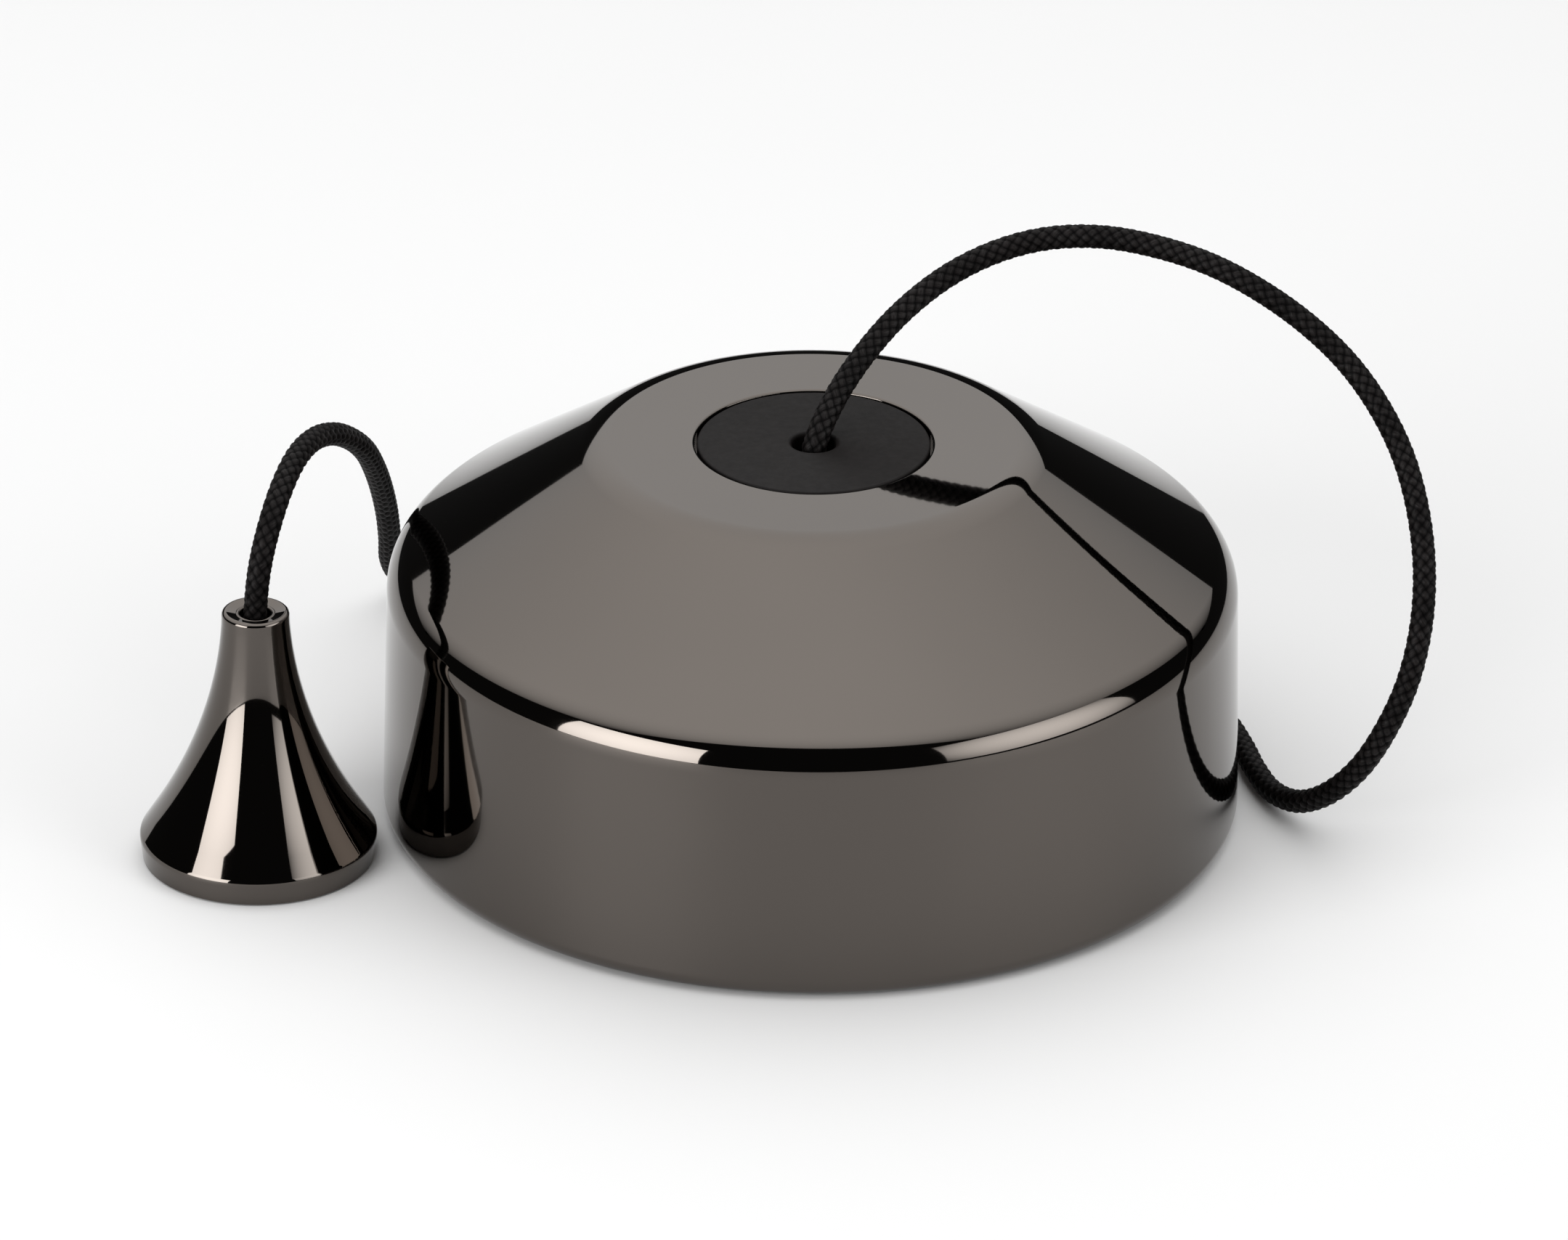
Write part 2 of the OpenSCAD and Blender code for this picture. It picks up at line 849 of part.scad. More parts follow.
metal_cover();
nose_bush();
base_plate();
cable_grommet();
housing();
housing_cap();
housing_screws();
cap_screws();
spindle();
drive_barrel();
contact_rotor();
bridge_contact();
moving_contact_tips();
contact_live();
contact_load();
fixed_contact_tips();
detent_spring();
terminal_live();
terminal_load();
terminal_loop();
terminal_earth();
terminal_screws();
earth_strap();
plunger();
cross_pin();
return_spring();
inner_knot();
cord_lead();
cord_coil();
coil_tie();
cord_tail();
bell();
bell_washer();
bell_knot();
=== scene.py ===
import json
import math

import bpy
import numpy as np
from mathutils import Matrix, Vector


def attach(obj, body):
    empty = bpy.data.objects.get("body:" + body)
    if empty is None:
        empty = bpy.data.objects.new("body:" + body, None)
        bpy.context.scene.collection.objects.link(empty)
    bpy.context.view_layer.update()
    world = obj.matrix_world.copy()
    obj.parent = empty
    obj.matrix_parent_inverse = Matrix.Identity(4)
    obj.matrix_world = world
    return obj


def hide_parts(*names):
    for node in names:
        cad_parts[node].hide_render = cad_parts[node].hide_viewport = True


# Looks of a ceiling pull cord switch that lies on its mounting face, with its cord and
# bell-shaped pull beside it. Lengths are in metres, except where a name ends in _MM and in
# the outlines of the turned parts, which are in mm like the part's own source.

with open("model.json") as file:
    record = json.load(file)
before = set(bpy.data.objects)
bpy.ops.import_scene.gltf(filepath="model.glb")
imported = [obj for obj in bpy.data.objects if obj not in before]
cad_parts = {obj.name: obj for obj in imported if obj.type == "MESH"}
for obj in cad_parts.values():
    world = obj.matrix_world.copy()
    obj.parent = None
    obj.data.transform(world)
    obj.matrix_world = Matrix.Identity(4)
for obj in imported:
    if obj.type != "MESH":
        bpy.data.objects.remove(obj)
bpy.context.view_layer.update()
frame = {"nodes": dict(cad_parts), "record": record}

MM = 0.001


# ---------------------------------------------------------------- camera

CAMERA_AT = Vector((0.0, -1.1478, 0.5947))
CAMERA_AIM = Vector((-0.0031, 0.0, 0.0220))
CAMERA_ROLL = math.radians(0.466)
CAMERA_LENS_MM = 266.8
CAMERA_SENSOR_MM = 36.0


def make_camera():
    data = bpy.data.cameras.new("camera")
    data.lens = CAMERA_LENS_MM
    data.sensor_width = CAMERA_SENSOR_MM
    data.clip_start = 0.05
    data.clip_end = 40.0
    camera = bpy.data.objects.new("camera", data)
    turn = (CAMERA_AIM - CAMERA_AT).to_track_quat("-Z", "Y").to_matrix()
    turn = turn @ Matrix.Rotation(CAMERA_ROLL, 3, "Z")
    camera.matrix_world = Matrix.Translation(CAMERA_AT) @ turn.to_4x4()
    bpy.context.scene.collection.objects.link(camera)
    bpy.context.scene.camera = camera


# ---------------------------------------------------------------- route of the cord

CORD_D = 2.6 * MM
COIL_AT_MM = (0.0, 71.1)
COIL_R_MM = 16.4
COIL_FLOOR_MM = 0.5
COIL_WIDE = 4
COIL_STEPS = 24
STEP_FROM, STEP_OVER = 0.78, 0.16       # where in a turn the cord steps sideways
CLIMB_BEFORE, CLIMB_OVER = 0.42, 0.2    # turns before the second layer where it climbs

# From the knot in the plunger to the coil, and from the coil to the knot in the bell
LEAD_ROUTE_MM = [
    (0, 0, 20), (0, 0, 26.5), (0, 0, 33), (0, 0, 39.5), (0.2, 0.3, 43.6), (2.5, 3.9, 47.7),
    (5.8, 7.9, 51.3), (9.8, 11.6, 54.5), (14.6, 14.8, 57.2), (19.9, 16.9, 59.2),
    (25.6, 17.5, 60.6), (31.6, 16.7, 61.2), (37.6, 14.9, 60.9), (43.5, 12.7, 59.8),
    (49, 10.4, 57.7), (54.1, 8.1, 54.8), (58.5, 5.7, 51.3), (62, 2.8, 47.3), (64.6, -0.4, 42.9),
    (66.2, -4, 38.1), (66.9, -7.6, 32.9), (66.6, -10.8, 27.5), (65.3, -12.7, 21.7),
    (63.1, -13.1, 16), (60.4, -12, 10.6), (57.2, -9.5, 6.1), (54.1, -5.5, 2.9),
    (51.4, -0.3, 1.4), (49.6, 5.2, 1.3), (48.4, 10.8, 1.3), (46.7, 16.9, 1.3),
    (43.8, 23.4, 1.3), (39.7, 29.8, 1.3), (34.4, 36, 1.3), (28, 41.8, 1.3), (21.6, 46.4, 1.3),
    (14.6, 49.3, 1.5), (7.4, 50.6, 1.7),
]
TAIL_ROUTE_MM = [
    (-7.4, 51.4, 4.1), (-14, 53, 2.9), (-20.6, 55, 1.7), (-27.2, 56.6, 1.3), (-33.8, 57.2, 1.3),
    (-40, 55.8, 1.3), (-44.8, 52, 1.8), (-47.4, 47.2, 4.2), (-48.2, 42.2, 8.4),
    (-48.1, 37.6, 13.4), (-48.2, 33, 18.8), (-48.6, 28, 24.3), (-49.2, 22.8, 29.4),
    (-50, 17.8, 33.8), (-51.4, 13.2, 37.4), (-53.1, 8.5, 40.2), (-54.9, 3.6, 41.9),
    (-56.5, -1.5, 42.3), (-57.9, -6.6, 41.2), (-59.2, -11, 38.4), (-60.2, -13.3, 34.4),
    (-60.7, -14, 29.6), (-60.7, -14, 25.4), (-60.7, -14, 21.2),
]


def smooth_step(x):
    x = min(1.0, max(0.0, x))
    return x * x * (3 - 2 * x)


def coil_route_mm():
    """The turns of spare cord: inward on the floor layer, up, and outward on the next.
    Each turn keeps its radius until the last part before the start angle, where it steps
    one cord width to its neighbour's."""
    d = CORD_D / MM
    out = (COIL_WIDE - 1) / 2
    radii = [COIL_R_MM + (out - k) * d for k in range(COIL_WIDE)]
    radii = radii + radii[::-1]
    points = []
    for i in range(1, len(radii) * COIL_STEPS):
        turns = i / COIL_STEPS
        k = int(turns)
        step = smooth_step((turns - k - STEP_FROM) / STEP_OVER)
        after = radii[min(k + 1, len(radii) - 1)]
        r = radii[k] + (after - radii[k]) * step
        climb = smooth_step((turns - COIL_WIDE + CLIMB_BEFORE) / CLIMB_OVER)
        z = COIL_FLOOR_MM + d / 2 + d * climb
        angle = -math.pi / 2 - 2 * math.pi * turns
        x, y = COIL_AT_MM[0] + r * math.cos(angle), COIL_AT_MM[1] + r * math.sin(angle)
        points.append((x, y, z))
    return points


def catmull_rom(points, per_span=16):
    """A smooth curve through the points, as closely spaced points."""
    p = np.array(points, float)
    p = np.vstack([2 * p[0] - p[1], p, 2 * p[-1] - p[-2]])
    t = (np.arange(per_span) / per_span)[:, None]
    spans = []
    for a, b, c, d in zip(p[:-3], p[1:-2], p[2:-1], p[3:]):
        spans.append(0.5 * (
            2 * b + (c - a) * t + (2 * a - 5 * b + 4 * c - d) * t ** 2
            + (3 * b - 3 * c + d - a) * t ** 3
        ))
    return np.vstack(spans + [p[-2:-1]])


def lengths_along(points):
    return np.concatenate([[0], np.cumsum(np.linalg.norm(np.diff(points, axis=0), axis=1))])


def resample(points, count):
    at = lengths_along(points)
    want = np.linspace(0, at[-1], count)
    return np.stack([np.interp(want, at, points[:, k]) for k in range(3)], 1)


def carried_frames(points):
    """Two directions square to the curve at each point, carried along it without twist."""
    tangent = np.gradient(points, axis=0)
    tangent /= np.linalg.norm(tangent, axis=1)[:, None]
    any_way = (0.2, 1.0, 0.1)
    side = np.cross(tangent[0], any_way)
    sides = []
    for t in tangent:
        side = side - t * np.dot(side, t)
        side = side / np.linalg.norm(side)
        sides.append(side)
    sides = np.array(sides)
    return sides, np.cross(tangent, sides)


# ---------------------------------------------------------------- mesh helpers

def mesh_piece(name, vertices, faces, material):
    mesh = bpy.data.meshes.new(name)
    mesh.from_pydata(np.asarray(vertices).tolist(), [], np.asarray(faces).tolist())
    mesh.polygons.foreach_set("use_smooth", [True] * len(mesh.polygons))
    mesh.materials.append(material)
    mesh.update()
    piece = bpy.data.objects.new(name, mesh)
    bpy.context.scene.collection.objects.link(piece)
    return piece


class Outline:
    """The closed outline of a turned part as short spans, each with the surface normal at
    its two ends, so that a mirror finish shows no facets. Points are (r, z) in mm, and the
    material is on the left of the way it runs."""

    ARC_STEP = math.radians(5)
    SAME_PLACE = 1e-6

    def __init__(self):
        self.spans = []
        self.at = None

    @staticmethod
    def right_of(way):
        way = np.asarray(way, float)
        way = way / np.linalg.norm(way)
        return np.array((way[1], -way[0]))

    def to(self, point):
        """A straight run from where the outline is to the point."""
        point = np.array(point, float)
        if self.at is not None and np.linalg.norm(point - self.at) > self.SAME_PLACE:
            n = self.right_of(point - self.at)
            self.spans.append((self.at, point, n, n))
        self.at = point

    def through(self, places):
        """A smooth run through (point, normal) pairs."""
        self.to(places[0][0])
        for (p, n), (q, m) in zip(places, places[1:]):
            self.spans.append((p, q, n, m))
        self.at = places[-1][0]

    def corner(self, before, here, after, radius):
        """A run up to a corner and round it."""
        before, here, after = (np.array(p[:2], float) for p in (before, here, after))
        if radius == 0:
            self.to(here)
            return
        u = (before - here) / np.linalg.norm(before - here)
        w = (after - here) / np.linalg.norm(after - here)
        half = math.acos(float(np.clip(np.dot(u, w), -1, 1))) / 2
        start = here + u * radius / math.tan(half)
        n0, n1 = self.right_of(-u), self.right_of(w)
        turn = math.atan2(n0[0] * n1[1] - n0[1] * n1[0], float(np.dot(n0, n1)))
        out = math.copysign(radius, turn)
        centre = start - n0 * out
        steps = max(2, math.ceil(abs(turn) / self.ARC_STEP))
        places = []
        for k in range(steps + 1):
            c, s = math.cos(turn * k / steps), math.sin(turn * k / steps)
            n = np.array((n0[0] * c - n0[1] * s, n0[0] * s + n0[1] * c))
            places.append((centre + n * out, n))
        self.through(places)

    def bezier(self, points, steps):
        p0, p1, p2, p3 = (np.array(p, float) for p in points)
        places = []
        for k in range(steps + 1):
            t = k / steps
            s = 1 - t
            place = s ** 3 * p0 + 3 * s * s * t * p1 + 3 * s * t * t * p2 + t ** 3 * p3
            way = s * s * (p1 - p0) + 2 * s * t * (p2 - p1) + t * t * (p3 - p2)
            places.append((place, self.right_of(way)))
        self.through(places)

    def close(self):
        self.to(self.spans[0][0])
        return self


def rounded(corners):
    """A closed outline of [r, z, round] corners."""
    outline = Outline()
    befores, afters = corners[-1:] + corners[:-1], corners[1:] + corners[:1]
    for before, here, after in zip(befores, corners, afters):
        outline.corner(before, here, after, here[2] if len(here) > 2 else 0)
    return outline.close()


def lathe(name, outline, centre_mm, around, material):
    """The closed outline turned about the upright axis through centre_mm, with the exact
    normals of the turned surface."""
    spans = outline.spans
    ends = np.array([s[0] for s in spans]) * MM
    angle = 2 * math.pi * np.arange(around) / around
    ring = np.stack([np.cos(angle), np.sin(angle)], 1)
    x = centre_mm[0] * MM + ends[:, None, 0] * ring[None, :, 0]
    y = centre_mm[1] * MM + ends[:, None, 0] * ring[None, :, 1]
    z = np.repeat(ends[:, 1:2], around, 1)
    vertices = np.stack([x, y, z], -1).reshape(-1, 3)
    i = np.arange(len(spans))[:, None]
    j = np.arange(around)[None, :]
    i_next, j_next = (i + 1) % len(spans), (j + 1) % around
    corners = [(i, j), (i, j_next), (i_next, j_next), (i_next, j)]
    faces = np.stack([p * around + q for p, q in corners], -1).reshape(-1, 4)
    piece = mesh_piece(name, vertices, faces, material)
    flat = [np.array([s[2] for s in spans]), np.array([s[3] for s in spans])]
    normals = []
    for which, shift in ((0, 0), (0, 1), (1, 1), (1, 0)):
        n = flat[which][:, None, :]
        r = np.roll(ring, -shift, axis=0)[None]
        upward = np.broadcast_to(n[..., 1], (len(spans), around))
        normals.append(np.stack([n[..., 0] * r[..., 0], n[..., 0] * r[..., 1], upward], -1))
    normals = np.stack(normals, 2).reshape(-1, 3)
    piece.data.normals_split_custom_set(normals.tolist())
    return piece


# ---------------------------------------------------------------- material helpers

def add_node(tree, kind, inputs=None, **settings):
    """A node with its settings and inputs, each of which is a value or another's output."""
    node = tree.nodes.new(kind)
    for key, value in settings.items():
        setattr(node, key, value)
    for key, value in (inputs or {}).items():
        if isinstance(value, bpy.types.NodeSocket):
            tree.links.new(value, node.inputs[key])
        else:
            node.inputs[key].default_value = value
    return node


def figure(add, how, a, b):
    """The output of a math node that add makes."""
    return add("ShaderNodeMath", {0: a, 1: b}, operation=how).outputs[0]


class Nodes:
    """A material under construction: shader is its Principled BSDF."""

    def __init__(self, name, colour, roughness, metallic=0.0):
        self.material = bpy.data.materials.new(name)
        self.material.use_nodes = True
        self.tree = self.material.node_tree
        self.shader = self.tree.nodes["Principled BSDF"]
        self.shader.inputs["Base Color"].default_value = (*colour, 1)
        self.shader.inputs["Roughness"].default_value = roughness
        self.shader.inputs["Metallic"].default_value = metallic
        self.place = self.add("ShaderNodeTexCoord").outputs["Object"]

    def add(self, kind, inputs=None, **settings):
        return add_node(self.tree, kind, inputs, **settings)

    def wire(self, value, socket):
        self.tree.links.new(value, self.shader.inputs[socket])

    def noise(self, scale, detail=4.0, distortion=0.0, stretch=None, at=None):
        at = at or self.place
        if stretch:
            at = self.add("ShaderNodeMapping", {"Vector": at, "Scale": stretch}).outputs[0]
        values = {"Vector": at, "Scale": scale, "Detail": detail, "Distortion": distortion}
        return self.add("ShaderNodeTexNoise", values).outputs[0]

    def bands(self, scale, distortion, direction="X"):
        values = {"Vector": self.place, "Scale": scale, "Distortion": distortion}
        return self.add("ShaderNodeTexWave", values, bands_direction=direction).outputs[1]

    def remap(self, value, low, high, to_low, to_high):
        values = {"Value": value, "From Min": low, "From Max": high}
        values.update({"To Min": to_low, "To Max": to_high})
        return self.add("ShaderNodeMapRange", values).outputs[0]

    def ramp(self, value, stops):
        node = self.add("ShaderNodeValToRGB", {"Fac": value})
        ramp = node.color_ramp
        while len(ramp.elements) < len(stops):
            ramp.elements.new(0.5)
        for element, (at, colour) in zip(ramp.elements, stops):
            element.position = at
            element.color = (*colour, 1)
        return node.outputs[0]

    def math(self, how, a, b):
        return figure(self.add, how, a, b)

    def bump(self, height, depth, strength=1.0):
        values = {"Height": height, "Distance": depth, "Strength": strength}
        self.wire(self.add("ShaderNodeBump", values).outputs[0], "Normal")


def shades(colour, spread):
    """A darker and a lighter version of a colour."""
    return tuple(c * (1 - spread) for c in colour), tuple(min(1.0, c * (1 + spread)) for c in colour)


# ---------------------------------------------------------------- materials

def black_nickel():
    """Polished dark plating: a near-mirror with faint smears and a slightly uneven tone."""
    colour = (0.104, 0.0925, 0.0835)
    m = Nodes("black_nickel", colour, 0.035, 1.0)
    smear = m.noise(38.0, 5.0, 0.6)
    m.wire(m.remap(smear, 0.35, 0.75, 0.022, 0.06), "Roughness")
    low, high = shades(colour, 0.035)
    m.wire(m.ramp(m.noise(21.0, 3.0), [(0.3, low), (0.7, high)]), "Base Color")
    return m.material


def black_plastic():
    colour = (0.0066, 0.0056, 0.0054)
    m = Nodes("black_plastic", colour, 0.50)
    low, high = shades(colour, 0.15)
    m.wire(m.ramp(m.noise(900.0, 4.0), [(0.3, low), (0.7, high)]), "Base Color")
    m.wire(m.remap(m.noise(1400.0, 3.0), 0.3, 0.7, 0.47, 0.54), "Roughness")
    m.bump(m.noise(5200.0, 2.0), 0.00001, 0.6)
    m.shader.inputs["Specular IOR Level"].default_value = 0.08
    return m.material


def black_rubber():
    colour = (0.020, 0.020, 0.020)
    m = Nodes("black_rubber", colour, 0.7)
    low, high = shades(colour, 0.25)
    m.wire(m.ramp(m.noise(240.0, 5.0), [(0.3, low), (0.7, high)]), "Base Color")
    m.bump(m.noise(2600.0, 3.0), 0.00002, 0.5)
    return m.material


def moulding(name, colour, roughness, grain):
    """Moulded plastic: a fine spark-eroded grain, slight flow marks and uneven gloss."""
    m = Nodes(name, colour, roughness)
    low, high = shades(colour, 0.035)
    m.wire(m.ramp(m.noise(55.0, 4.0, 0.8), [(0.3, low), (0.7, high)]), "Base Color")
    gloss = m.noise(130.0, 3.0)
    m.wire(m.remap(gloss, 0.3, 0.7, roughness - 0.05, roughness + 0.06), "Roughness")
    m.bump(m.noise(grain, 2.0), 0.000012, 0.5)
    m.shader.inputs["Subsurface Weight"].default_value = 0.05
    m.shader.inputs["Subsurface Radius"].default_value = (0.0012, 0.0010, 0.0008)
    return m.material


def worked_metal(name, colour, roughness, spread, lay):
    """Bare or plated metal: cloudy colour, and drawing lines that lay squeezes sideways."""
    m = Nodes(name, colour, roughness, 1.0)
    low, high = shades(colour, spread)
    m.wire(m.ramp(m.noise(90.0, 6.0, 0.4), [(0.3, low), (0.7, high)]), "Base Color")
    lines = m.noise(300.0, 4.0, 0.1, lay)
    m.wire(m.remap(lines, 0.3, 0.7, roughness - 0.07, roughness + 0.1), "Roughness")
    m.bump(lines, 0.000006, 0.4)
    return m.material


# Yarn colours: painted shade for the gaps between floats, painted highlight for their crests.
YARN_PAINTED_SHADE = (0.0009, 0.0008, 0.0008)
YARN_PAINTED_HIGHLIGHT = (0.0085, 0.0070, 0.0068)


def black_braid():
    """Black polyester yarn. The yarn attribute runs across and along the yarn on top. Its
    filaments streak a painted highlight on each float's crest, and the gaps have painted shade."""
    m = Nodes("black_braid", YARN_PAINTED_SHADE, 0.5)
    yarn = m.add("ShaderNodeAttribute", attribute_name="yarn").outputs["Vector"]
    parts = m.add("ShaderNodeSeparateXYZ", {0: yarn}).outputs
    across, along = (m.math("PINGPONG", parts[k], 0.5) for k in (0, 1))
    back, end = m.remap(across, 0.0, 0.34, 0.0, 1.0), m.remap(along, 0.0, 0.3, 0.35, 1.0)
    # Painted light: lighter on the middle of each float, painted shade towards its edges and ends.
    painted_crest_mask = m.math("MULTIPLY", back, end)
    filaments = m.noise(1.0, 3.0, 0.2, (13.0, 1.2, 1.0), yarn)
    # The painted crest highlight, made uneven at random.
    uneven_painted_highlight = m.math("MULTIPLY", painted_crest_mask, m.remap(m.noise(190.0, 2.0), 0.3, 0.7, 0.6, 1.2))
    glow = m.math("MULTIPLY", uneven_painted_highlight, m.remap(filaments, 0.25, 0.75, 0.3, 1.4))
    # Base colour runs from painted shade in the gaps to painted highlight on the crests.
    m.wire(m.ramp(glow, [(0.05, YARN_PAINTED_SHADE), (1.0, YARN_PAINTED_HIGHLIGHT)]), "Base Color")
    m.wire(m.remap(filaments, 0.3, 0.7, 0.58, 0.40), "Roughness")
    m.wire(m.remap(glow, 0.0, 1.0, 0.02, 0.11), "Specular IOR Level")
    m.bump(filaments, 0.00005, 0.7)
    m.shader.inputs["Sheen Weight"].default_value = 0.004
    return m.material


def wound_braid():
    """The same yarn on the two knots: turns of cord round the axis, with yarns across them.
    The base colour paints a highlight on the turns and shade in the grooves between.
    """
    m = Nodes("wound_braid", YARN_PAINTED_SHADE, 0.5)
    turns, yarns = m.bands(143.0, 1.2, "Z"), m.bands(900.0, 1.5, "DIAGONAL")
    relief = m.math("ADD", turns, m.math("MULTIPLY", yarns, 0.35))
    lit = m.math("MULTIPLY", turns, yarns)
    # Base colour: painted highlight where turns and yarns rise, painted shade in the grooves.
    m.wire(m.ramp(lit, [(0.05, YARN_PAINTED_SHADE), (0.8, YARN_PAINTED_HIGHLIGHT)]), "Base Color")
    m.bump(relief, 0.0003, 0.8)
    m.shader.inputs["Specular IOR Level"].default_value = 0.08
    return m.material


def tie_strap():
    colour = (0.020, 0.020, 0.021)
    m = Nodes("tie_strap", colour, 0.5)
    m.bump(m.bands(420.0, 0.3), 0.00006, 0.7)
    low, high = shades(colour, 0.2)
    m.wire(m.ramp(m.noise(300.0, 4.0), [(0.3, low), (0.7, high)]), "Base Color")
    return m.material


# ---------------------------------------------------------------- turned metal parts

COVER_R = 47.5
COVER_H = 43.9
COVER_WALL = 1.2
SHOULDER = (46.85, 28.95)
CROWN_R = 24.1
INNER_TOP_Z = COVER_H - COVER_WALL
INNER_SHOULDER_R = 45.65
INNER_FOOT_R = 46.3
LIP_R, LIP_H = 44.5, 1.2
RECESS_R, RECESS_Z = 13.1, 41.4
BUSH_HOLE_R = 11.2
BOSS_R, BOSS_Z = 14.3, 40.2
NOSE_R, NOSE_TOP, NOSE_UNDER = 12.8, 43.85, 41.45
NOSE_HOLE_R, NOSE_HOLE_ROUND = 2.45, 0.5
NOSE_BORE_R, NOSE_BORE_Z = 4.6, 42
STEM_R, STEM_END_Z = 8, 34
BELL_AT_MM = (-60.7, -14.0)
BELL_FOOT_R = 12.8
BELL_H = 29.6
BELL_HOLE_R = 1.75
BELL_SEAT_Z = 22
BELL_BORE_R = 3.4
BELL_MOUTH_R = 11.2


def cover_outline():
    slope = math.atan2(COVER_H - SHOULDER[1], SHOULDER[0] - CROWN_R)
    drop = COVER_WALL / math.cos(slope)
    inner_crown_r = CROWN_R + (COVER_H - drop - INNER_TOP_Z) / math.tan(slope)
    inner_shoulder_z = SHOULDER[1] + COVER_WALL * math.tan(slope) - drop
    return rounded([
        (COVER_R, 0, 2), (*SHOULDER, 5.3), (CROWN_R, COVER_H, 6.2), (RECESS_R, COVER_H, 0.3),
        (RECESS_R, RECESS_Z), (BUSH_HOLE_R, RECESS_Z), (BUSH_HOLE_R, BOSS_Z), (BOSS_R, BOSS_Z),
        (BOSS_R, INNER_TOP_Z), (inner_crown_r, INNER_TOP_Z, 5.0),
        (INNER_SHOULDER_R, inner_shoulder_z, 4.1), (INNER_FOOT_R, LIP_H, 0.8), (LIP_R, LIP_H),
        (LIP_R, 0),
    ])


def nose_outline():
    return rounded([
        (NOSE_HOLE_R, NOSE_TOP, NOSE_HOLE_ROUND), (NOSE_HOLE_R, NOSE_BORE_Z),
        (NOSE_BORE_R, NOSE_BORE_Z), (NOSE_BORE_R, STEM_END_Z), (STEM_R, STEM_END_Z, 0.4),
        (STEM_R, NOSE_UNDER), (NOSE_R, NOSE_UNDER), (NOSE_R, NOSE_TOP, 0.3),
    ])


def bell_outline():
    foot, rim, waist, neck = (BELL_FOOT_R, 0), (13.1, 2.6), (11.6, 4.95), (3.75, 28.1)
    top, hole, seat = (3.7, BELL_H), (BELL_HOLE_R, BELL_H), (BELL_HOLE_R, BELL_SEAT_Z)
    outline = Outline()
    outline.to(foot)
    outline.corner(foot, rim, waist, 1.1)
    outline.bezier([waist, (7.4, 11.55), (4.3, 19.6), neck], 32)
    outline.corner(neck, top, hole, 0.5)
    outline.corner(neck, hole, seat, 0.25)
    outline.to(seat)
    outline.to((BELL_BORE_R, BELL_SEAT_Z))
    outline.bezier([(BELL_BORE_R, 16.5), (4.2, 12), (7, 7.4), (10.8, 2.4)], 20)
    outline.to((BELL_MOUTH_R, 0))
    return outline.close()


def make_turned_parts(materials):
    cover = lathe("cover_shell", cover_outline(), (0, 0), 384, materials["black_nickel"])
    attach(cover, "root")
    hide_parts("metal_cover")
    nose = lathe("nose_disc", nose_outline(), (0, 0), 192, materials["black_plastic"])
    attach(nose, "root")
    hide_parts("nose_bush")
    bell = lathe("bell_pull", bell_outline(), BELL_AT_MM, 256, materials["black_nickel"])
    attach(bell, "pull")
    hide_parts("bell")
    return bell


# ---------------------------------------------------------------- braided cord

YARNS = 6           # yarns that wind each way round, one over and one under the others
TURN = 8.4 * MM     # length of cord in which a yarn goes once round
SPLIT = 3           # quads across one yarn
LIFT = 0.12 * MM    # how far a yarn rises over the one it crosses
CROWN = 0.20 * MM   # height of a yarn's own rounded back
CRESTS = 0.87 * LIFT + 0.89 * CROWN     # braid_height at its highest vertices
PROUD = 0.02 * MM   # how far those vertices stand past the cord's nominal radius


def crown(across, number):
    x = 2 * (across - number) - 1
    return CROWN * (1 - x * x)


def braid_height(a, b):
    """Height of the braid's surface where a and b count the yarns of the two directions."""
    height = np.zeros(np.broadcast(a, b).shape)
    for nudge in (-0.01, 0.01):
        i, j = np.floor(a + nudge), np.floor(b + nudge)
        one = LIFT * np.where(i % 2 == 0, 1, -1) * np.sin(math.pi * b) + crown(a, i)
        other = -LIFT * np.where(j % 2 == 0, 1, -1) * np.sin(math.pi * a) + crown(b, j)
        height = np.maximum(height, np.maximum(one, other))
    return height


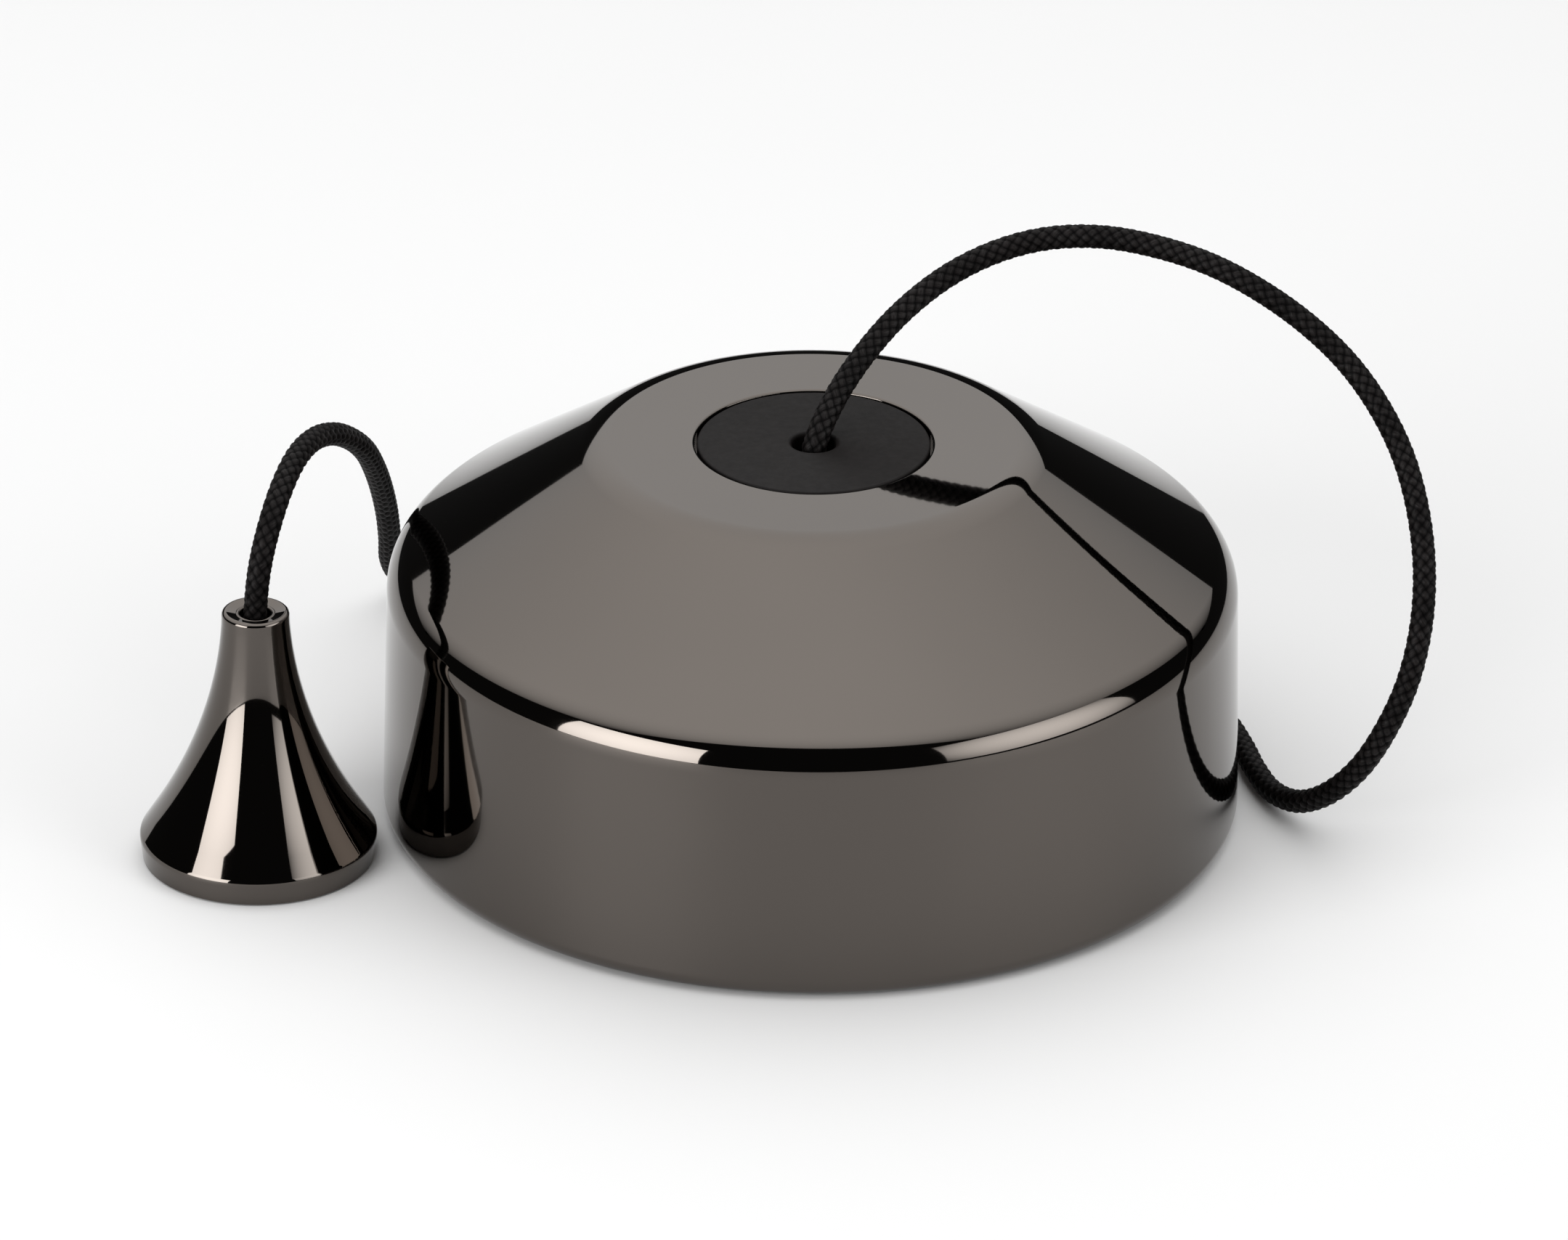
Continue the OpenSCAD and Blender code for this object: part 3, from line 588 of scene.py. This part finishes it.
def braided(name, points, radius, material):
    """A braided tube along points. Its quads follow the yarns of both directions. The yarn
    attribute runs across and along the yarn that lies on top, and its third value tells one
    float from the next."""
    length = lengths_along(points)[-1]
    around = YARNS * SPLIT
    rows = int(round(length / (TURN / 2 / around))) + 1
    line = resample(points, rows)
    side, up = carried_frames(line)
    row = np.arange(rows)[:, None]
    number = 2 * np.arange(around)[None, :] + row % 2
    a, b = (number + row) / 2 / SPLIT, (number - row) / 2 / SPLIT
    at = np.linspace(0, length, rows)[:, None]
    fuller_at_the_switch = 0.035 * np.exp(-at / 0.05)
    uneven = 0.015 * np.sin(at / 0.011) * np.sin(at / 0.017)
    settle = 1 + fuller_at_the_switch + uneven
    r = (radius + PROUD) * settle - CRESTS + braid_height(a, b)
    angle = math.pi * number / around
    ring = np.cos(angle)[..., None] * side[:, None] + np.sin(angle)[..., None] * up[:, None]
    vertices = (line[:, None] + r[..., None] * ring).reshape(-1, 3)

    m = np.arange(rows - 2)[:, None]
    k = np.arange(around)[None, :]
    left = np.where(m % 2 == 0, k - 1, k)
    faces = np.stack([
        m * around + k, (m + 1) * around + (left + 1) % around, (m + 2) * around + k,
        (m + 1) * around + left % around,
    ], -1).reshape(-1, 4)
    piece = mesh_piece(name, vertices, faces, material)

    n = 2 * k + m % 2
    i, j = np.floor((n + m + 1) / 2 / SPLIT), np.floor((n - m - 1) / 2 / SPLIT)
    one_on_top = (i + j) % 2 == 0
    corners = []
    for dn, dm in ((0, 0), (1, 1), (0, 2), (-1, 1)):
        p, q = (n + dn + m + dm) / 2 / SPLIT, (n + dn - m - dm) / 2 / SPLIT
        across, along = np.where(one_on_top, p, q), np.where(one_on_top, q, p)
        corners.append(np.stack([across, along, i + 7 * j], -1))
    yarn = piece.data.attributes.new("yarn", "FLOAT_VECTOR", "CORNER")
    yarn.data.foreach_set("vector", np.stack(corners, 2).astype(np.float32).ravel())
    return piece


def make_cord(materials):
    route = np.array(LEAD_ROUTE_MM + coil_route_mm() + TAIL_ROUTE_MM, float)
    line = catmull_rom(route * MM)
    cord = braided("braided_cord", line, CORD_D / 2, materials["black_braid"])
    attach(cord, "pull")
    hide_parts("cord_lead", "cord_coil", "cord_tail")


# ---------------------------------------------------------------- floor and lights

def card(name, centre, right, up, glow):
    """A rectangle of light that shines towards right x up and is seen only in reflections.
    glow(add, x, y) gives its strength, where x and y run from -1 to 1."""
    centre, right, up = Vector(centre), Vector(right), Vector(up)
    mesh = bpy.data.meshes.new(name)
    corners = [centre - right - up, centre + right - up, centre + right + up, centre - right + up]
    mesh.from_pydata([tuple(c) for c in corners], [], [(0, 1, 2, 3)])
    layer = mesh.uv_layers.new(name="UVMap")
    layer.data.foreach_set("uv", [0, 0, 1, 0, 1, 1, 0, 1])
    material = bpy.data.materials.new(name)
    material.use_nodes = True
    tree = material.node_tree
    tree.nodes.clear()

    def add(kind, inputs=None, **settings):
        return add_node(tree, kind, inputs, **settings)

    place = add("ShaderNodeTexCoord").outputs["UV"]
    parts = add("ShaderNodeSeparateXYZ", {0: place})
    x, y = (
        add("ShaderNodeMapRange", {"Value": parts.outputs[k], "To Min": -1.0}).outputs[0]
        for k in (0, 1)
    )
    strength = glow(add, x, y)
    light = add("ShaderNodeEmission", {"Strength": strength})
    dark = add("ShaderNodeBsdfTransparent")
    behind = add("ShaderNodeNewGeometry").outputs["Backfacing"]
    mix = add("ShaderNodeMixShader", {0: behind, 1: light.outputs[0], 2: dark.outputs[0]})
    out = add("ShaderNodeOutputMaterial")
    tree.links.new(mix.outputs[0], out.inputs[0])
    mesh.materials.append(material)
    plane = bpy.data.objects.new(name, mesh)
    plane.visible_camera = False
    plane.visible_shadow = False
    bpy.context.scene.collection.objects.link(plane)


def domed(peak, loss_x, loss_y):
    """Strength that falls off from the middle, separately in x and y."""
    def glow(add, x, y):
        falls = []
        for value, loss in ((x, loss_x), (y, loss_y)):
            falls.append(figure(add, "MULTIPLY", figure(add, "MULTIPLY", value, value), loss))
        return figure(add, "SUBTRACT", peak, figure(add, "ADD", *falls))
    return glow


def facing_card(name, azimuth, elevation, distance, half_width, half_height, glow):
    """An upright card at a bearing from the switch, turned to face it."""
    az, el = math.radians(azimuth), math.radians(elevation)
    out = Vector((math.sin(az), math.cos(az), 0))
    centre = out * distance + Vector((0, 0, distance * math.tan(el)))
    right = Vector((out.y, -out.x, 0)) * half_width
    card(name, centre, right, Vector((0, 0, half_height)), glow)


def make_lights():
    card(
        "overhead", centre=(-0.105, -0.005, 0.655), right=(1.065, 0, 0), up=(0, -0.755, 0.345),
        glow=domed(1.98, 1.3, 0.80),
    )
    facing_card(
        "key_left", azimuth=-132.5, elevation=18.3, distance=1.2, half_width=0.42,
        half_height=0.39, glow=domed(9.2, 1.5, 1.5),
    )
    facing_card(
        "fill_right", azimuth=117.5, elevation=24.0, distance=1.2, half_width=0.64,
        half_height=0.47, glow=domed(4.6, 2.4, 1.8),
    )
    world = bpy.data.worlds.new("studio")
    world.use_nodes = True
    background = world.node_tree.nodes["Background"]
    background.inputs["Color"].default_value = (1, 1, 1, 1)
    background.inputs["Strength"].default_value = 0.02
    bpy.context.scene.world = world


def make_floor():
    colour = (0.64, 0.64, 0.64)
    m = Nodes("studio_floor", colour, 0.55)
    m.shader.inputs["Specular IOR Level"].default_value = 0.3
    m.wire(m.remap(m.noise(6.0, 3.0), 0.3, 0.7, 0.5, 0.6), "Roughness")
    half, back, below = 0.9, 0.6, 0.0002
    corners = [(-half, -half, 0), (half, -half, 0), (half, back, 0), (-half, back, 0)]
    floor = mesh_piece("studio_floor", corners, [(0, 1, 2, 3)], m.material)
    floor.location.z = -below


# ---------------------------------------------------------------- the scene

def make_materials():
    steel, yellow, silver = (0.56, 0.57, 0.60), (0.66, 0.46, 0.19), (0.80, 0.78, 0.74)
    return {
        "black_nickel": black_nickel(),
        "black_plastic": black_plastic(),
        "black_rubber": black_rubber(),
        "white_moulding": moulding("white_moulding", (0.76, 0.75, 0.71), 0.38, 3600.0),
        "grey_moulding": moulding("grey_moulding", (0.36, 0.37, 0.40), 0.42, 3200.0),
        "zinc_steel": worked_metal("zinc_steel", steel, 0.30, 0.10, (1.0, 1.0, 14.0)),
        "brass": worked_metal("brass", yellow, 0.28, 0.14, (12.0, 1.0, 1.0)),
        "contact_silver": worked_metal("contact_silver", silver, 0.22, 0.06, (1.0, 1.0, 1.0)),
        "black_braid": black_braid(),
        "wound_braid": wound_braid(),
        "tie_strap": tie_strap(),
    }


def finish_cad_nodes(materials):
    """Every CAD node gets its slot's material, and the knots get their own braid."""
    own = {"inner_knot": "wound_braid", "bell_knot": "wound_braid"}
    for part in frame["record"]["subparts"]:
        for slot in frame["nodes"][part["node"]].material_slots:
            slot.material = materials[own.get(part["node"], part["material_slot"])]


make_camera()
materials = make_materials()
bell = make_turned_parts(materials)
make_cord(materials)
finish_cad_nodes(materials)
make_floor()
make_lights()
bpy.context.scene.view_settings.view_transform = "Standard"
